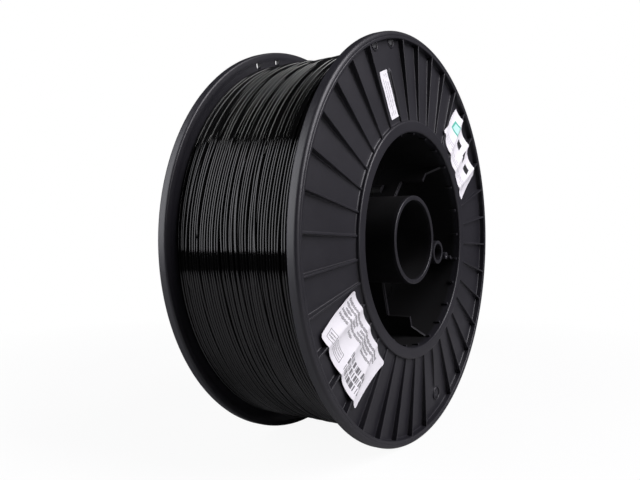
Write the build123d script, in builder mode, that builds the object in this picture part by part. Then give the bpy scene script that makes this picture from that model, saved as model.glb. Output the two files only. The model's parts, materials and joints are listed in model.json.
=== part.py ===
"""Filament spool in two interlocking halves, with its wound filament and paper labels.

The spool's axis is Y and the mid-plane is y = 0.  The front (labelled) flange faces -Y.
Angles are degrees clockwise from +Z as seen from the front.  "Depth" is measured into the
spool from the plane of the rim's front edge, at y = -half_width.  Sizes are in mm.
"""
from build123d import *
import os
from math import cos, radians, sin

os.makedirs("parts", exist_ok=True)

# ---------------------------------------------------------------- driving dimensions
half_width = 50.0          # rim plane to mid-plane
joint_gap = 0.05           # each half stops this far short of the mid-plane
flip_angle = 342.0         # the rear half is the front one turned over about this line

# Flange, collar and barrel
rim_r = 135.0              # outside of the flange
rim_inner_r = 130.0        # inside of the rim band
rim_depth = 7.0            # rim band, front to back
web_t = 2.4                # flange web, along the axis
web_depth_rim = 4.0        # depth of the web's front surface 1 mm inside the rim band
collar_r = 78.5            # outside of the hub collar
collar_proud = 2.4         # collar in front of the rim plane
drum_r = 74.0              # outside of the barrel the filament is wound on
hub_r = 71.0               # hub opening

# Radial ribs on the front of the web
rib_pitch = 10             # degrees
rib_first = 2
rib_skipped = (162, 342)   # places on the pitch with no full rib
rib_t = 1.4
rib_proud = 1.3            # rib top in front of the rim plane, at the collar
rib_sunk = 0.3             # rib top behind the rim plane, at the rim
rib_start_r = collar_r - 1.5     # ribs run a little into the collar and the rim band
rib_end_r = rim_inner_r + 0.6
rib_root = 1.2             # how far ribs reach into the web

# Low ribs that stop short of the rim
short_ribs = (343.0, 162.0)
short_rib_end = 113.0
short_rib_slope = 2.0      # radial length of the sloping outer end
short_rib_h = 1.8          # at the collar
short_rib_tip_h = 0.8      # where the sloping end begins

# Slots through the web beside the rim, with raised borders
slot_angles = (337.2, 346.9)
slot_inner_r = 125.6
slot_end_r = 129.9
slot_w = 4.6
slot_centre_r = slot_inner_r + slot_w / 2    # centre of the rounded inner end
slot_cut = 12.0
border_w = 1.1
border_depth = 3.1
border_h = 2.0
border_bar_r = 127.55      # centre of the straight part of the border
border_bar_len = 2.6

# Round pad beyond the end of one short rib
pad_angle = 160.5
pad_r_pos = 117.0
pad_d = 10.0
pad_depth = 2.2
pad_h = 2.0

# Bore tube
tube_r = 29.5
bore_r = 26.5
tube_recess = 0.6          # tube end behind the rim plane

# Short ribs round the hub opening
tick_count = 24
tick_first = 12
tick_t = 1.4
tick_h = 1.6               # inwards from the hub opening
tick_embed = 0.6           # into the hub wall
tick_proud = 0.4           # in front of the rim plane
tick_len = 4.0

# Gussets that carry the tube
gusset_angles = (42.0, 162.0, 282.0)
gusset_t = 2.0
gusset_front = 0.4         # depth of the front corner at the hub wall
gusset_shoulder_r = 64.1   # inner end of the sloping edge
gusset_shoulder_depth = 12.8
gusset_step_r = 56.7
gusset_floor = 29.6        # depth of the gussets' front edge near the tube
gusset_outer_r = hub_r + 0.8     # buried in the hub wall
gusset_inner_r = tube_r - 1.5    # buried in the tube wall
gusset_pad_t = 3.4         # thicker inner part of each gusset
gusset_pad_inset = 0.6     # its corner inside the gusset's step
gusset_pad_knee_r = 59.9
gusset_pad_knee_depth = 36.2
gusset_pad_joint_r = 61.5

# Locating pin on one gusset and socket on another
pin_angle = gusset_angles[2]
socket_angle = gusset_angles[0]
pin_r_pos = 48.0
pin_r = 2.5
socket_r = pin_r + 0.1
pin_len = 6.0              # beyond the mid-plane
pin_root = 1.0             # start of the pin inside its boss
socket_extra = 1.0         # socket deeper than the pin is long
pin_boss_r = 4.6
pin_boss_depth = 42.0

# Drive hole boss beside the tube, its thin web and the studs on the web
drive_angle = 104.0
drive_centre_r = 37.4
drive_boss_r = 8.2
drive_hole_r = 6.0
drive_len = 36.0
drive_web_angle = 102.0    # the web meets the hub wall at this angle
drive_web_t = 1.2
drive_web_recess = 2.5
drive_web_start_r = drive_centre_r + 6.6
drive_web_end_r = hub_r + 0.6
studs = ((52.0, 2.6), (60.2, 1.2))   # (distance from the axis, stud radius)

# Wound filament
pack_outer_r = 125.5
pack_clearance = 1.4       # barrel to innermost layer
side_gap = 0.45            # wound filament to flange, along the axis
layer_t = 3.4              # the outermost turns, kept as their own solid
layer_gap = 0.15           # inner layers to outer turns
turns = 49
valley_depth = 0.8         # grooves between the outer turns

# Slopes of the conical surfaces: depth gained per mm of radius
web_slope = web_depth_rim / (rim_inner_r - 1.0 - collar_r)
rib_slope = (rib_proud + rib_sunk) / (rim_inner_r - collar_r)


# ---------------------------------------------------------------- places and surfaces
def out(angle):
    """Unit vector pointing out from the axis."""
    return (sin(radians(angle)), 0.0, cos(radians(angle)))


def depth(d):
    """Depth behind the rim plane as a y coordinate."""
    return -half_width + d


def plane_at(d):
    """Plane facing the front at this depth; a negative extrude goes into the spool."""
    return Plane.XZ.offset(half_width - d)


def to_joint(d):
    """Extrude amount from this depth to the joint at the mid-plane."""
    return -(half_width - d - joint_gap)


def radial_plane(angle):
    """Plane holding the axis and the radius at this angle; local x is radius, local y is Y."""
    x, _, z = out(angle)
    return Plane(origin=(0, 0, 0), x_dir=(x, 0, z), z_dir=(-z, 0, x))


def polar(r, angle, count=1):
    """Places round the axis, the first at this angle, each with local x pointing outwards."""
    return PolarLocations(r, count, start_angle=90 - angle)


def web_front(r):
    """Depth of the flange web's front surface."""
    return web_slope * (r - collar_r)


def web_back(r):
    """Depth of the flange web's back surface."""
    return web_front(r) + web_t


def rib_top(r):
    """Depth of the rib tops."""
    return -rib_proud + rib_slope * (r - collar_r)


def wound_edge(r):
    """Y of the wound filament's rear end face at this radius, clear of the flange."""
    return half_width - web_back(r) - side_gap


def flat(r, angle):
    """Radius and angle as a point in a plane facing the front."""
    x, _, z = out(angle)
    return Vector(r * x, r * z)


def drive_web_outline():
    """Corners of the thin web, straight from the drive hole's boss to the hub wall."""
    start = flat(drive_web_start_r, drive_angle)
    end = flat(drive_web_end_r, drive_web_angle)
    side = (end - start).normalized().rotate(Axis.Z, 90) * (drive_web_t / 2)
    return [start + side, end + side, end - side, start - side]


def drive_web_angle_at(r):
    """Angle along the thin web, shared out evenly from the boss to the hub opening."""
    share = (r - drive_web_start_r) / (hub_r - drive_web_start_r)
    return drive_angle + (drive_web_angle - drive_angle) * share


# ---------------------------------------------------------------- radial ribs
def build_ribs():
    """Full-length ribs: straight bars trimmed to a turned envelope."""
    with BuildPart() as ribs:
        with BuildSketch(plane_at(-rib_proud - 0.5)):
            for angle in range(rib_first, 360, rib_pitch):
                if angle in rib_skipped:
                    continue
                with polar((rib_start_r + rib_end_r) / 2, angle):
                    Rectangle(rib_end_r - rib_start_r, rib_t)
        extrude(amount=-8.0)
        with BuildSketch(Plane.XY):
            with BuildLine():
                Polyline(
                    (rib_start_r, depth(rib_top(rib_start_r))),
                    (rib_end_r, depth(rib_top(rib_end_r))),
                    (rib_end_r, depth(web_front(rib_end_r) + rib_root)),
                    (rib_start_r, depth(web_front(rib_start_r) + rib_root)),
                    close=True,
                )
            make_face()
        revolve(axis=Axis.Y, mode=Mode.INTERSECT)
    return ribs.part


# ---------------------------------------------------------------- front half of the spool
# (corner of the turned profile, fillet radius), in the order they are rounded
profile_fillets = (
    # rim, front outer edge
    (lambda v: v.X > rim_r - 0.1 and v.Y < depth(1), 2.2),
    # rim, back outer edge
    (lambda v: v.X > rim_r - 0.1 and v.Y > depth(rim_depth - 0.5), 1.2),
    # rim, front inner edge
    (lambda v: abs(v.X - rim_inner_r) < 0.1 and v.Y < depth(1), 0.6),
    # both front edges of the collar
    (lambda v: abs(v.Y - depth(-collar_proud)) < 0.1, 0.6),
    # barrel to the back of the web
    (lambda v: abs(v.X - drum_r) < 0.1 and v.Y < depth(10), 1.0),
)


def build_front_half():
    ribs = build_ribs()

    with BuildPart() as half:
        # flange, collar and barrel in one turned profile
        with BuildSketch(Plane.XY) as profile:
            with BuildLine():
                Polyline(
                    (hub_r, -joint_gap),
                    (drum_r, -joint_gap),
                    (drum_r, depth(web_back(drum_r))),
                    (128.5, depth(web_back(128.5))),
                    (131.0, depth(rim_depth)),
                    (rim_r, depth(rim_depth)),
                    (rim_r, depth(0)),
                    (rim_inner_r, depth(0)),
                    (rim_inner_r, depth(web_front(rim_inner_r))),
                    (collar_r, depth(0)),
                    (collar_r, depth(-collar_proud)),
                    (hub_r, depth(-collar_proud)),
                    close=True,
                )
            make_face()
            for is_corner, radius in profile_fillets:
                fillet(profile.vertices().filter_by(is_corner), radius=radius)
        revolve(axis=Axis.Y)

        add(ribs)

        # low ribs that stop short of the rim
        tip_r = short_rib_end - short_rib_slope
        for angle in short_ribs:
            with BuildSketch(radial_plane(angle)):
                with BuildLine():
                    Polyline(
                        (rib_start_r, depth(web_front(rib_start_r) - short_rib_h)),
                        (tip_r, depth(web_front(tip_r) - short_rib_tip_h)),
                        (short_rib_end, depth(web_front(short_rib_end) + 0.2)),
                        (short_rib_end, depth(web_front(short_rib_end) + rib_root)),
                        (rib_start_r, depth(web_front(rib_start_r) + rib_root)),
                        close=True,
                    )
                make_face()
            extrude(amount=rib_t / 2, both=True)

        # raised borders round the slots
        for angle in slot_angles:
            with BuildSketch(plane_at(border_depth)):
                with polar(border_bar_r, angle):
                    Rectangle(border_bar_len, slot_w + 2 * border_w)
                with polar(slot_centre_r, angle):
                    Circle(slot_w / 2 + border_w)
            extrude(amount=-border_h)

        # round pad
        with BuildSketch(plane_at(pad_depth)):
            with polar(pad_r_pos, pad_angle):
                Circle(pad_d / 2)
        extrude(amount=-pad_h)

        # the slots go right through the web
        for angle in slot_angles:
            with BuildSketch(plane_at(0)):
                with polar((slot_centre_r + slot_end_r) / 2, angle):
                    Rectangle(slot_end_r - slot_centre_r, slot_w)
                with polar(slot_centre_r, angle):
                    Circle(slot_w / 2)
            extrude(amount=-slot_cut, mode=Mode.SUBTRACT)

        # bore tube, solid until the bore is cut at the end
        with BuildSketch(plane_at(tube_recess)):
            Circle(tube_r)
        extrude(amount=to_joint(tube_recess))

        # gussets: a thin plate, then the thicker part near the tube
        pad_floor = gusset_floor + gusset_pad_inset
        for angle in gusset_angles:
            with BuildSketch(radial_plane(angle)):
                with BuildLine():
                    Polyline(
                        (gusset_outer_r, depth(gusset_front)),
                        (gusset_shoulder_r, depth(gusset_shoulder_depth)),
                        (gusset_step_r, depth(gusset_shoulder_depth)),
                        (gusset_step_r, depth(gusset_floor)),
                        (gusset_inner_r, depth(gusset_floor)),
                        (gusset_inner_r, -joint_gap),
                        (gusset_outer_r, -joint_gap),
                        close=True,
                    )
                make_face()
            extrude(amount=gusset_t / 2, both=True)
            with BuildSketch(radial_plane(angle)):
                with BuildLine():
                    Polyline(
                        (gusset_step_r - gusset_pad_inset, depth(pad_floor)),
                        (gusset_pad_knee_r, depth(gusset_pad_knee_depth)),
                        (gusset_pad_joint_r, -joint_gap),
                        (gusset_inner_r, -joint_gap),
                        (gusset_inner_r, depth(pad_floor)),
                        close=True,
                    )
                make_face()
            extrude(amount=gusset_pad_t / 2, both=True)

        # bosses for the socket and the pin, then the pin and the socket
        for angle in (socket_angle, pin_angle):
            with BuildSketch(plane_at(pin_boss_depth)):
                with polar(pin_r_pos, angle):
                    Circle(pin_boss_r)
            extrude(amount=to_joint(pin_boss_depth))
        with BuildSketch(Plane.XZ.offset(pin_root)):
            with polar(pin_r_pos, pin_angle):
                Circle(pin_r)
        extrude(amount=-(pin_root + pin_len))
        with BuildSketch(Plane.XZ):
            with polar(pin_r_pos, socket_angle):
                Circle(socket_r)
        extrude(amount=pin_len + socket_extra, mode=Mode.SUBTRACT)

        # drive hole boss and studs, thin web, then the hole
        with BuildSketch(plane_at(0)):
            with polar(drive_centre_r, drive_angle):
                Circle(drive_boss_r)
            for stud_r_pos, stud_r in studs:
                with polar(stud_r_pos, drive_web_angle_at(stud_r_pos)):
                    Circle(stud_r)
        extrude(amount=-drive_len)
        with BuildSketch(plane_at(drive_web_recess)):
            with BuildLine():
                Polyline(*drive_web_outline(), close=True)
            make_face()
        extrude(amount=-(drive_len - drive_web_recess))
        with BuildSketch(plane_at(-1.0)):
            with polar(drive_centre_r, drive_angle):
                Circle(drive_hole_r)
        extrude(amount=-(drive_len + 2.0), mode=Mode.SUBTRACT)

        # short ribs round the inside of the hub opening
        with BuildSketch(plane_at(-tick_proud)):
            with polar(hub_r + (tick_embed - tick_h) / 2, tick_first, tick_count):
                Rectangle(tick_h + tick_embed, tick_t)
        extrude(amount=-tick_len)

        # bore, cut 5 mm past both ends
        with BuildSketch(plane_at(-5)):
            Circle(bore_r)
        extrude(amount=-(half_width + 10), mode=Mode.SUBTRACT)
    return half.part


# ---------------------------------------------------------------- rear half
def build_rear_half(front_half):
    """The same moulding turned over, so that each pin meets the other half's socket."""
    turned = front_half.rotate(Axis((0, 0, 0), out(flip_angle)), 180)
    with BuildPart() as half:
        add(turned)
    return half.part


# ---------------------------------------------------------------- wound filament
def build_inner_layers():
    inner_r = drum_r + pack_clearance
    outer_r = pack_outer_r - layer_t - layer_gap
    with BuildPart() as layers:
        with BuildSketch(Plane.XY):
            with BuildLine():
                Polyline(
                    (inner_r, -wound_edge(inner_r)),
                    (outer_r, -wound_edge(outer_r)),
                    (outer_r, wound_edge(outer_r)),
                    (inner_r, wound_edge(inner_r)),
                    close=True,
                )
            make_face()
        revolve(axis=Axis.Y)
    return layers.part


def build_outer_turns():
    """Outermost turns as rings, with one faceted crest for each turn."""
    base_r = pack_outer_r - layer_t
    valley_r = pack_outer_r - valley_depth
    end_y = wound_edge(pack_outer_r)
    pitch = 2 * end_y / turns
    crests = []
    for k in range(turns):
        start_y = -end_y + k * pitch
        crests += [
            (pack_outer_r, start_y + 0.3 * pitch),
            (pack_outer_r, start_y + 0.7 * pitch),
            (valley_r, start_y + pitch),
        ]
    with BuildPart() as rings:
        with BuildSketch(Plane.XY):
            with BuildLine():
                Polyline((base_r, -end_y), (valley_r, -end_y), *crests, (base_r, end_y), close=True)
            make_face()
        revolve(axis=Axis.Y)
    return rings.part


# ---------------------------------------------------------------- paper labels
label_t = 0.2


def label_plane(angle, r, d, slope, tilt):
    """Plane on the conical flange; before the tilt, local x is clockwise and y is outwards."""
    out_x, _, out_z = out(angle)
    normal = Vector(slope * out_x, -1.0, slope * out_z).normalized()
    clockwise = Vector(out_z, 0, -out_x)
    outwards = normal.cross(clockwise)
    x_dir = clockwise * cos(radians(tilt)) + outwards * sin(radians(tilt))
    return Plane(origin=(r * out_x, depth(d), r * out_z), x_dir=x_dir, z_dir=normal)


def build_label(plane, width, height, corner_r):
    with BuildPart() as label:
        with BuildSketch(plane):
            RectangleRounded(width, height, corner_r)
        extrude(amount=label_t)
    return label.part


# The two large labels lie on the rib tops, the strip on the web
front_label_plane = label_plane(
    angle=50.0, r=100.9, d=rib_top(100.9) - 0.06, slope=rib_slope, tilt=-5.4
)
data_label_plane = label_plane(
    angle=231.9, r=100.4, d=rib_top(100.4) - 0.06, slope=rib_slope, tilt=-1.5
)
strip_label_plane = label_plane(
    angle=338.4, r=97.1, d=web_front(97.1) - 0.1, slope=web_slope, tilt=1.2
)

# ---------------------------------------------------------------- build and write the files
front_half = build_front_half()
pieces = {
    "front_half": front_half,
    "rear_half": build_rear_half(front_half),
    "filament_inner_layers": build_inner_layers(),
    "filament_outer_turns": build_outer_turns(),
    "front_label": build_label(front_label_plane, width=58.0, height=37.5, corner_r=1.0),
    "data_label": build_label(data_label_plane, width=57.5, height=37.5, corner_r=2.0),
    "strip_label": build_label(strip_label_plane, width=9.9, height=30.0, corner_r=0.8),
}
for name, piece in pieces.items():
    piece.label = name
    export_step(piece, f"parts/{name}.step")
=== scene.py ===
"""A spool of black filament: two moulded halves, the winding between them and three paper labels.

The spool's axis is Y, through the origin; the front face looks along -Y and +Z is up.
Shapes are worked out in millimetres and become metres when a mesh is built. Angles are in
degrees clockwise from +Z, seen from the front, unless a name or comment says radians.
"Depth" is the distance in mm behind the front rim plane; what stands proud of it is negative.
"""

import json
import math

import bmesh
import bpy
import numpy as np
from mathutils import Matrix, Vector


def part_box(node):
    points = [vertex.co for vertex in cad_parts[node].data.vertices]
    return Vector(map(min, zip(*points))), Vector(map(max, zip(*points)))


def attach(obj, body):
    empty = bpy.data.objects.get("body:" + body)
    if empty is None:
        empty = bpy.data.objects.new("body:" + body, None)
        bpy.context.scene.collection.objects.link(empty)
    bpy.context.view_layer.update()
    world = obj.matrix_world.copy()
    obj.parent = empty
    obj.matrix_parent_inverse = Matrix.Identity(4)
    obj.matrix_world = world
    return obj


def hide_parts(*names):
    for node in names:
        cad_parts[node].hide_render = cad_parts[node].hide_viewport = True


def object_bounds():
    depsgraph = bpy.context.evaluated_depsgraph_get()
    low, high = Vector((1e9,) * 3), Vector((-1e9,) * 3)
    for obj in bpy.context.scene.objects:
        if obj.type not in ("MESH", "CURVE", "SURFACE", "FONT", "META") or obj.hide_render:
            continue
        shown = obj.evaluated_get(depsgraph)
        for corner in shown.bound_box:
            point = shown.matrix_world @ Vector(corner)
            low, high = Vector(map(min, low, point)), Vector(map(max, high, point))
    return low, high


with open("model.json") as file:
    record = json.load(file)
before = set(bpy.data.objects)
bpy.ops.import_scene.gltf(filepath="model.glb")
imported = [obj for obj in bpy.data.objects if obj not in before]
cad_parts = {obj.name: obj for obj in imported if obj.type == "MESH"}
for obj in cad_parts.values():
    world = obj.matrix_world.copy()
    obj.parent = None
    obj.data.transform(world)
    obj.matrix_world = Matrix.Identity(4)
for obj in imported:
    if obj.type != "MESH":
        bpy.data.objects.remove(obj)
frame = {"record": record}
cad_box = [[float(x) for x in c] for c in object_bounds()]
MM = 0.001


# ------------------------------------------------------------------ sizes taken from the frame
def box_mm(node):
    low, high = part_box(node)
    return np.array(low) * 1000, np.array(high) * 1000


front_low, front_high = box_mm("front_half")
wind_low, wind_high = box_mm("filament_outer_turns")
pack_low, pack_high = box_mm("filament_inner_layers")
mounts = {m["name"]: m for m in frame["record"]["mounts"]}
drive_pos = mounts["drive_hole"]["pos_m"]

PROUD = 2.4                                     # the collar stands this far before the rim
RIM_R = float(front_high[0] - front_low[0]) / 2
HALF_WIDTH = -float(front_low[1]) - PROUD       # the front rim plane is at y = -HALF_WIDTH
BORE_R = float(mounts["bore"]["dims"]["r_mm"])
DRIVE_HOLE_R = float(mounts["drive_hole"]["dims"]["r_mm"])
DRIVE_DISTANCE = math.hypot(drive_pos[0], drive_pos[2]) * 1000
DRIVE_ANGLE = math.degrees(math.atan2(drive_pos[0], drive_pos[2])) % 360
WIND_R = float(wind_high[0] - wind_low[0]) / 2
WIND_HALF = float(wind_high[1] - wind_low[1]) / 2
PACK_HALF = float(pack_high[1] - pack_low[1]) / 2

# ------------------------------------------------------------------ sizes of the mouldings
RIM_IN, COLLAR_R, DRUM_R, HUB_R = 130.0, 78.5, 74.0, 71.0
TUBE_R = 29.5              # outside of the bore tube
WEB_THICK = 2.4
WEB_DISH = 4.0             # depth of the web just inside the rim
FLIP_ANGLE = 342.0         # the rear half is the front one turned over about this radius

RIB_PITCH = 10
FULL_RIBS = [float(a) for a in range(2, 360, RIB_PITCH) if a not in (162, 342)]
SHORT_RIBS = {343.0: 113.2, 162.0: 112.0}       # angle: radius of the outer end
RIBS = sorted([(angle, None) for angle in FULL_RIBS] + list(SHORT_RIBS.items()))

# half a rib's section: mm from its centre line, which end amount is measured from, amount.
# "top" is measured down from the rib's top and "low" up from the web.
RIB_SECTION = [
    (0.00, "top", 0.00), (0.30, "top", 0.00), (0.45, "top", 0.04), (0.56, "top", 0.13),
    (0.62, "top", 0.30), (0.72, "low", 0.50), (0.80, "low", 0.22), (0.97, "low", 0.06),
    (1.25, "low", 0.00),
]
BAY_COLUMNS = 5            # mesh columns between two ribs

SLOT_ANGLES = (337.2, 346.9)
SLOT_INNER_R, SLOT_WIDTH = 125.6, 4.6

STRAND_R = 1.75 / 2
WIND_START = math.radians(120.0)
PAPER_THICK = 0.14


def web_depth(radius):
    return WEB_DISH * (radius - COLLAR_R) / (RIM_IN - 1.0 - COLLAR_R)


def rib_depth(radius):
    return -1.22 + 1.52 * (radius - COLLAR_R) / (RIM_IN - COLLAR_R)


# ------------------------------------------------------------------ mesh helpers
def ease(x):
    return x * x * (3 - 2 * x)


def polar(radius, radians, y):
    """Points at a radius and angle round the spool axis."""
    return np.stack([radius * np.sin(radians), y + 0 * radius, radius * np.cos(radians)], -1)


def across(angle, radius, offset=0.0):
    """x and z at a radius along an angle, then offset square to it, clockwise."""
    sine, cosine = math.sin(math.radians(angle)), math.cos(math.radians(angle))
    return radius * sine + offset * cosine, radius * cosine - offset * sine


def grid_faces(rows, columns, close_rows=True, close_columns=True):
    i = np.arange(rows if close_rows else rows - 1)
    j = np.arange(columns if close_columns else columns - 1)
    row, column = np.meshgrid(i, j, indexing="ij")
    row2, column2 = (row + 1) % rows, (column + 1) % columns
    corners = [row * columns + column, row * columns + column2,
               row2 * columns + column2, row2 * columns + column]
    return np.stack(corners, -1).reshape(-1, 4)


def tube_faces(count, sides):
    """Faces of a run of closed sections, capped at both ends."""
    last = (count - 1) * sides
    caps = [range(sides), range(last + sides - 1, last - 1, -1)]
    return list(grid_faces(count, sides, close_rows=False)) + caps


class Part:
    """Collects the closed islands of one piece, in millimetres."""

    def __init__(self):
        self.verts, self.faces, self.uvs, self.count = [], [], [], 0

    def add(self, verts, faces, uvs=None):
        verts = np.asarray(verts, float).reshape(-1, 3)
        self.verts.append(verts)
        self.faces += [tuple(int(i) + self.count for i in face) for face in faces]
        self.uvs.append(np.zeros((len(verts), 2)) if uvs is None else np.asarray(uvs, float))
        self.count += len(verts)

    def build(self, name, sharp=None, uv=False):
        mesh = bpy.data.meshes.new(name)
        mesh.from_pydata((np.concatenate(self.verts) * MM).tolist(), [], self.faces)
        mesh.validate()
        bm = bmesh.new()
        bm.from_mesh(mesh)
        bmesh.ops.recalc_face_normals(bm, faces=bm.faces)
        bm.to_mesh(mesh)
        bm.free()
        if uv:
            layer = mesh.uv_layers.new(name="UVMap")
            index = np.zeros(len(mesh.loops), np.int32)
            mesh.loops.foreach_get("vertex_index", index)
            values = np.concatenate(self.uvs)[index].astype(np.float32)
            layer.data.foreach_set("uv", values.ravel())
        mesh.shade_smooth()
        if sharp:
            mesh.set_sharp_from_angle(angle=math.radians(sharp))
        obj = bpy.data.objects.new(name, mesh)
        bpy.context.scene.collection.objects.link(obj)
        return obj


def revolve(points, sides):
    """(radius, y) points turned about the spool axis."""
    points = np.array(points, float)
    turn = np.linspace(0, 2 * math.pi, sides, endpoint=False)
    radius, radians = np.meshgrid(points[:, 0], turn, indexing="ij")
    return polar(radius, radians, np.repeat(points[:, 1:2], sides, 1)).reshape(-1, 3)


def from_rim(profile):
    """(radius, depth) points as (radius, y)."""
    points = np.array(profile, float)
    points[:, 1] -= HALF_WIDTH
    return points


def ring(profile, sides, centre=(0.0, 0.0)):
    """A closed (radius, depth) outline turned about an axis along Y through centre (x, z)."""
    verts = revolve(from_rim(profile), sides) + (centre[0], 0.0, centre[1])
    return verts, grid_faces(len(profile), sides)


def stud(profile, sides, centre):
    """A solid turned stud: (radius, depth) from the middle of one end to that of the other."""
    points = from_rim(profile)
    middle = points[1:-1]
    ends = [(0.0, points[0, 1], 0.0), (0.0, points[-1, 1], 0.0)]
    verts = np.concatenate([revolve(middle, sides), ends]) + (centre[0], 0.0, centre[1])
    first, last = len(middle) * sides, (len(middle) - 1) * sides
    faces = list(grid_faces(len(middle), sides, close_rows=False))
    faces += [(first, (j + 1) % sides, j) for j in range(sides)]
    faces += [(first + 1, last + j, last + (j + 1) % sides) for j in range(sides)]
    return verts, faces


def bevelled(bm, offset, clamp):
    """Rounds every edge and gives back vertices and faces."""
    bmesh.ops.recalc_face_normals(bm, faces=bm.faces)
    bmesh.ops.bevel(bm, geom=list(bm.edges), offset=offset, segments=2, profile=0.5,
                    affect="EDGES", clamp_overlap=clamp)
    bm.verts.index_update()
    verts = [tuple(vert.co) for vert in bm.verts]
    faces = [tuple(vert.index for vert in face.verts) for face in bm.faces]
    bm.free()
    return verts, faces


def slab(outline, angle, thick, bevel):
    """A flat plate in the radial plane at an angle, from a (radius, depth) outline."""
    bm = bmesh.new()
    sides = []
    for offset in (-thick / 2, thick / 2):
        side = []
        for radius, depth in outline:
            x, z = across(angle, radius, offset)
            side.append(bm.verts.new((x, -HALF_WIDTH + depth, z)))
        sides.append(side)
    near, far = sides
    bm.faces.new(near[::-1])
    bm.faces.new(far)
    for i in range(len(outline)):
        j = (i + 1) % len(outline)
        bm.faces.new((near[i], near[j], far[j], far[i]))
    return bevelled(bm, bevel, clamp=True)


# ------------------------------------------------------------------ shell of one half
def arc(centre_r, centre_depth, radius, degrees):
    """Points on an arc; 0 degrees points outwards and 90 to the front."""
    return [(centre_r + radius * math.cos(x), centre_depth - radius * math.sin(x))
            for x in np.radians(degrees)]


def shell_rows():
    """Radius and depth round the shell's section, and whether the row meets web and ribs.

    A row that meets them lies at its own depth or at theirs, whichever is further forward.
    """
    rows = []

    def fixed(points):
        rows.extend((radius, depth, False) for radius, depth in points)

    def meeting(points):
        rows.extend((radius, depth, True) for radius, depth in points)

    def surface(radii):
        meeting([(radius, math.inf) for radius in radii])

    def back(radius):
        return web_depth(radius) + WEB_THICK

    # hub wall from the parting face to the front, then the collar
    fixed([(HUB_R, 49.5), (HUB_R, 30.0), (HUB_R, 8.0), (HUB_R, -PROUD + 0.9)])
    fixed(arc(HUB_R + 0.9, -PROUD + 0.9, 0.9, [165, 148, 130, 110, 90]))
    fixed([(72.8, -PROUD), (75.0, -PROUD), (76.9, -PROUD)])
    meeting(arc(COLLAR_R - 1.1, -PROUD + 1.1, 1.1, [78, 60, 42, 24, 8, 0]))
    # the ribbed web
    surface([COLLAR_R + step for step in (0.02, 0.1, 0.25, 0.5, 0.9)])
    surface(np.arange(81.6, 108.0, 3.2))
    surface([108.8, 109.8, 110.8, 111.6, 112.4, 113.2])
    surface(np.arange(116.0, 128.9, 3.2))
    surface([129.0, 129.35, 129.65, 129.85, 129.97])
    meeting([(RIM_IN, 0.62), (130.05, 0.33), (130.2, 0.1), (130.45, 0.0)])
    # rim land with a shallow step, then the rounded edge
    fixed([(131.55, 0.0), (131.75, 0.06), (131.9, 0.2), (132.05, 0.12), (132.3, 0.05)])
    fixed(arc(132.75, 2.3, 2.25, [84, 67, 50, 33, 16, 0]))
    fixed([(RIM_R, 4.0), (RIM_R, 5.6)])
    fixed(arc(133.7, 5.7, 1.3, [-25, -50, -72, -90]))
    # back of the web, then the drum that the filament lies on
    fixed([(132.0, 7.0), (131.0, 6.98), (129.6, 6.6), (128.3, back(128.3) + 0.02)])
    fixed([(radius, back(radius)) for radius in (124.0, 112.0, 98.0, 86.0, 76.6)])
    fixed([(75.2, back(75.2) + 0.06), (74.45, back(74.4) + 0.35), (74.0, 3.3)])
    fixed([(DRUM_R, 26.0), (DRUM_R, 49.4), (DRUM_R - 0.35, 49.95), (HUB_R + 0.35, 49.95)])
    return rows


def cove(distance, radius):
    """Height of a fillet at a distance from the wall it meets."""
    reach = radius - np.minimum(distance, radius)
    return radius - np.sqrt(np.maximum(0, radius ** 2 - reach ** 2))


def section_height(end, amount, full):
    if end == "top":
        return full - np.minimum(amount, 0.25 * full)
    return np.minimum(amount, 0.38 * full)


def shell_grid():
    radius, depth, meets = (np.array(column) for column in zip(*shell_rows()))
    web = web_depth(radius)
    fillet = np.maximum(cove(radius - COLLAR_R, 0.9), cove(RIM_IN - radius, 0.95))
    section = [(-offset, end, amount) for offset, end, amount in RIB_SECTION[:0:-1]]
    section += RIB_SECTION
    foot = np.arcsin(RIB_SECTION[-1][0] / radius)
    radians, heights = [], []
    for k, (angle, outer_end) in enumerate(RIBS):
        full = web - rib_depth(radius)
        if outer_end is not None:
            # a short rib is lower and fades out over 3 mm
            fade = ease(np.clip((outer_end - radius) / 3.0, 0, 1))
            full = np.minimum(full, 1.8 - (radius - COLLAR_R) / 35.0) * fade
        for offset, end, amount in section:
            radians.append(math.radians(angle) + np.arcsin(offset / radius))
            heights.append(section_height(end, amount, full))
        following = RIBS[k + 1][0] if k + 1 < len(RIBS) else RIBS[0][0] + 360
        start = math.radians(angle) + foot
        stop = math.radians(following) - foot
        for step in range(1, BAY_COLUMNS + 1):
            radians.append(start + (stop - start) * (step / (BAY_COLUMNS + 1)))
            heights.append(0 * radius)
    field = web[:, None] - np.maximum(np.stack(heights, 1), fillet[:, None])
    own = depth[:, None]
    depths = np.where(meets[:, None], np.minimum(own, field), own)
    verts = polar(radius[:, None], np.stack(radians, 1), -HALF_WIDTH + depths)
    return verts, grid_faces(*depths.shape)


def slot_outline(angle, grow, outer, steps):
    """x and z round a slot that is open at its outer end and rounded at its inner end."""
    centre, radius = SLOT_INNER_R + SLOT_WIDTH / 2, SLOT_WIDTH / 2 + grow
    points = [(outer, radius)]
    for x in np.linspace(math.pi / 2, 3 * math.pi / 2, steps):
        points.append((centre + radius * math.cos(x), radius * math.sin(x)))
    points.append((outer, -radius))
    return [across(angle, along, offset) for along, offset in points]


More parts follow.
